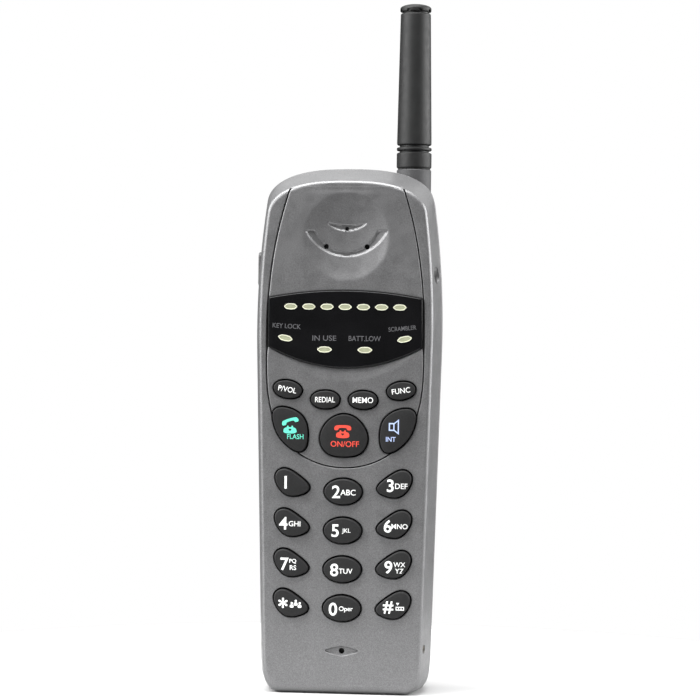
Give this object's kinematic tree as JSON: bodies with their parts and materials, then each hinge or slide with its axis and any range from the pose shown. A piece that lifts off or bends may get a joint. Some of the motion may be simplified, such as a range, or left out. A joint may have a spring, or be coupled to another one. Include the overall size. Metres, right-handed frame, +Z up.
{
  "type": "cordless telephone handset",
  "caption": "Upright cordless telephone handset with rubber keypad, indicator window, hinged battery cover and screw-on stub antenna.",
  "frame": {"origin": "middle of the flat bottom end, in the parting plane between the front and rear shells", "axes": "+Z up along the handset towards the antenna, -Y out of the keypad face, +X to the user's right as they look at the keypad"},
  "size_m": [0.0597, 0.0286, 0.2202],
  "materials": {
    "shell_paint": "silver-grey metallic speckle paint on moulded ABS, satin",
    "plate_paint": "slightly darker silver-grey metallic speckle paint, satin",
    "lens_black": "smoked black acrylic, polished",
    "light_guide": "milky cream diffusing acrylic",
    "key_rubber": "charcoal moulded rubber with a soft satin coat",
    "antenna_rubber": "charcoal moulded rubber, satin",
    "seal_rubber": "black rubber",
    "silicone": "translucent grey silicone",
    "black_plastic": "black moulded plastic, fine texture",
    "side_key_plastic": "dark grey moulded plastic",
    "board_green": "green solder mask on glass-epoxy board",
    "chip_black": "black epoxy chip package",
    "tinned_steel": "tin-plated sheet steel",
    "brass": "turned brass",
    "contact_gold": "gold-plated spring bronze",
    "copper_wire": "enamelled copper wire",
    "steel": "zinc-plated steel screws",
    "black_steel": "black-oxide steel screws",
    "nylon": "natural nylon",
    "cell_can": "nickel-plated steel cell cans",
    "cell_wrap": "blue heat-shrink sleeve",
    "cloth": "black acoustic cloth",
    "ferrite": "sintered ferrite magnet",
    "led_white": "clear epoxy chip light"
  },
  "bodies": {
    "handset": {"front_housing": "shell_paint", "face_plate": "plate_paint", "rear_housing": "shell_paint", "display_lens": "lens_black", "channel_light_guides": "light_guide", "status_light_guides": "light_guide", "light_shield": "black_plastic", "indicator_leds": "led_white", "earpiece_cloth": "cloth", "speaker_gasket": "seal_rubber", "speaker_frame": "tinned_steel", "speaker_magnet": "ferrite", "microphone_boot": "seal_rubber", "microphone": "tinned_steel", "main_board": "board_green", "radio_shield": "tinned_steel", "processor_chip": "chip_black", "memory_chip": "chip_black", "duplexer": "tinned_steel", "ringer": "black_plastic", "keypad_mat": "silicone", "keypad_domes": "silicone", "headset_jack": "black_plastic", "jack_surround": "side_key_plastic", "charge_contacts": "contact_gold", "side_switch": "black_plastic", "battery_cells": "cell_can", "battery_wrap": "cell_wrap", "battery_terminals": "contact_gold", "case_screws": "black_steel", "board_screws": "steel", "antenna_bush": "brass", "antenna_contact": "contact_gold"},
    "battery_cover": {"battery_cover": "shell_paint"},
    "side_key": {"side_key": "side_key_plastic"},
    "antenna_lift": {"antenna_seal": "seal_rubber"},
    "antenna": {"antenna_ferrule": "brass", "antenna_core": "nylon", "antenna_coil": "copper_wire", "antenna_sleeve": "antenna_rubber", "antenna_cap": "antenna_rubber"},
    "key_1": {"key_1": "key_rubber"},
    "key_2": {"key_2": "key_rubber"},
    "key_3": {"key_3": "key_rubber"},
    "key_4": {"key_4": "key_rubber"},
    "key_5": {"key_5": "key_rubber"},
    "key_6": {"key_6": "key_rubber"},
    "key_7": {"key_7": "key_rubber"},
    "key_8": {"key_8": "key_rubber"},
    "key_9": {"key_9": "key_rubber"},
    "key_star": {"key_star": "key_rubber"},
    "key_0": {"key_0": "key_rubber"},
    "key_hash": {"key_hash": "key_rubber"},
    "key_volume": {"key_volume": "key_rubber"},
    "key_redial": {"key_redial": "key_rubber"},
    "key_memory": {"key_memory": "key_rubber"},
    "key_function": {"key_function": "key_rubber"},
    "key_flash": {"key_flash": "key_rubber"},
    "key_talk": {"key_talk": "key_rubber"},
    "key_intercom": {"key_intercom": "key_rubber"}
  },
  "joints": [
    {"name": "key_1_press", "type": "slide", "parent": "handset", "child": "key_1", "axis": [0, 1, 0], "range_m": [0, 0.0008], "stiffness_N_per_m": 400, "springref_m": -0.001},
    {"name": "key_2_press", "type": "slide", "parent": "handset", "child": "key_2", "axis": [0, 1, 0], "range_m": [0, 0.0008], "stiffness_N_per_m": 400, "springref_m": -0.001},
    {"name": "key_3_press", "type": "slide", "parent": "handset", "child": "key_3", "axis": [0, 1, 0], "range_m": [0, 0.0008], "stiffness_N_per_m": 400, "springref_m": -0.001},
    {"name": "key_4_press", "type": "slide", "parent": "handset", "child": "key_4", "axis": [0, 1, 0], "range_m": [0, 0.0008], "stiffness_N_per_m": 400, "springref_m": -0.001},
    {"name": "key_5_press", "type": "slide", "parent": "handset", "child": "key_5", "axis": [0, 1, 0], "range_m": [0, 0.0008], "stiffness_N_per_m": 400, "springref_m": -0.001, "deforming": ["keypad_domes"]},
    {"name": "key_6_press", "type": "slide", "parent": "handset", "child": "key_6", "axis": [0, 1, 0], "range_m": [0, 0.0008], "stiffness_N_per_m": 400, "springref_m": -0.001},
    {"name": "key_7_press", "type": "slide", "parent": "handset", "child": "key_7", "axis": [0, 1, 0], "range_m": [0, 0.0008], "stiffness_N_per_m": 400, "springref_m": -0.001},
    {"name": "key_8_press", "type": "slide", "parent": "handset", "child": "key_8", "axis": [0, 1, 0], "range_m": [0, 0.0008], "stiffness_N_per_m": 400, "springref_m": -0.001},
    {"name": "key_9_press", "type": "slide", "parent": "handset", "child": "key_9", "axis": [0, 1, 0], "range_m": [0, 0.0008], "stiffness_N_per_m": 400, "springref_m": -0.001},
    {"name": "key_star_press", "type": "slide", "parent": "handset", "child": "key_star", "axis": [0, 1, 0], "range_m": [0, 0.0008], "stiffness_N_per_m": 400, "springref_m": -0.001},
    {"name": "key_0_press", "type": "slide", "parent": "handset", "child": "key_0", "axis": [0, 1, 0], "range_m": [0, 0.0008], "stiffness_N_per_m": 400, "springref_m": -0.001},
    {"name": "key_hash_press", "type": "slide", "parent": "handset", "child": "key_hash", "axis": [0, 1, 0], "range_m": [0, 0.0008], "stiffness_N_per_m": 400, "springref_m": -0.001},
    {"name": "key_volume_press", "type": "slide", "parent": "handset", "child": "key_volume", "axis": [0, 1, 0], "range_m": [0, 0.0008], "stiffness_N_per_m": 400, "springref_m": -0.001},
    {"name": "key_redial_press", "type": "slide", "parent": "handset", "child": "key_redial", "axis": [0, 1, 0], "range_m": [0, 0.0008], "stiffness_N_per_m": 400, "springref_m": -0.001},
    {"name": "key_memory_press", "type": "slide", "parent": "handset", "child": "key_memory", "axis": [0, 1, 0], "range_m": [0, 0.0008], "stiffness_N_per_m": 400, "springref_m": -0.001},
    {"name": "key_function_press", "type": "slide", "parent": "handset", "child": "key_function", "axis": [0, 1, 0], "range_m": [0, 0.0008], "stiffness_N_per_m": 400, "springref_m": -0.001},
    {"name": "key_flash_press", "type": "slide", "parent": "handset", "child": "key_flash", "axis": [0, 1, 0], "range_m": [0, 0.0008], "stiffness_N_per_m": 400, "springref_m": -0.001},
    {"name": "key_talk_press", "type": "slide", "parent": "handset", "child": "key_talk", "axis": [0, 1, 0], "range_m": [0, 0.0008], "stiffness_N_per_m": 400, "springref_m": -0.001},
    {"name": "key_intercom_press", "type": "slide", "parent": "handset", "child": "key_intercom", "axis": [0, 1, 0], "range_m": [0, 0.0008], "stiffness_N_per_m": 400, "springref_m": -0.001},
    {"name": "side_key_press", "type": "slide", "parent": "handset", "child": "side_key", "axis": [1, 0, 0], "range_m": [0, 0.0006], "stiffness_N_per_m": 400, "springref_m": -0.001},
    {"name": "battery_cover_hinge", "type": "hinge", "parent": "handset", "child": "battery_cover", "pos_m": [0, 0.0141, 0.0089], "axis": [-1, 0, 0], "range_deg": [0, 75]},
    {"name": "antenna_lift", "type": "slide", "parent": "handset", "child": "antenna_lift", "axis": [0, 0, 1], "range_m": [0, 0.005]},
    {"name": "antenna_turn", "type": "hinge", "parent": "antenna_lift", "child": "antenna", "pos_m": [0.0197, 0.006, 0.1669], "axis": [0, 0, 1], "range_deg": [0, 1836]}
  ],
  "couplings": [
    {"joint": "antenna_turn", "follows": "antenna_lift", "rad_per_m": 6283.2}
  ]
}
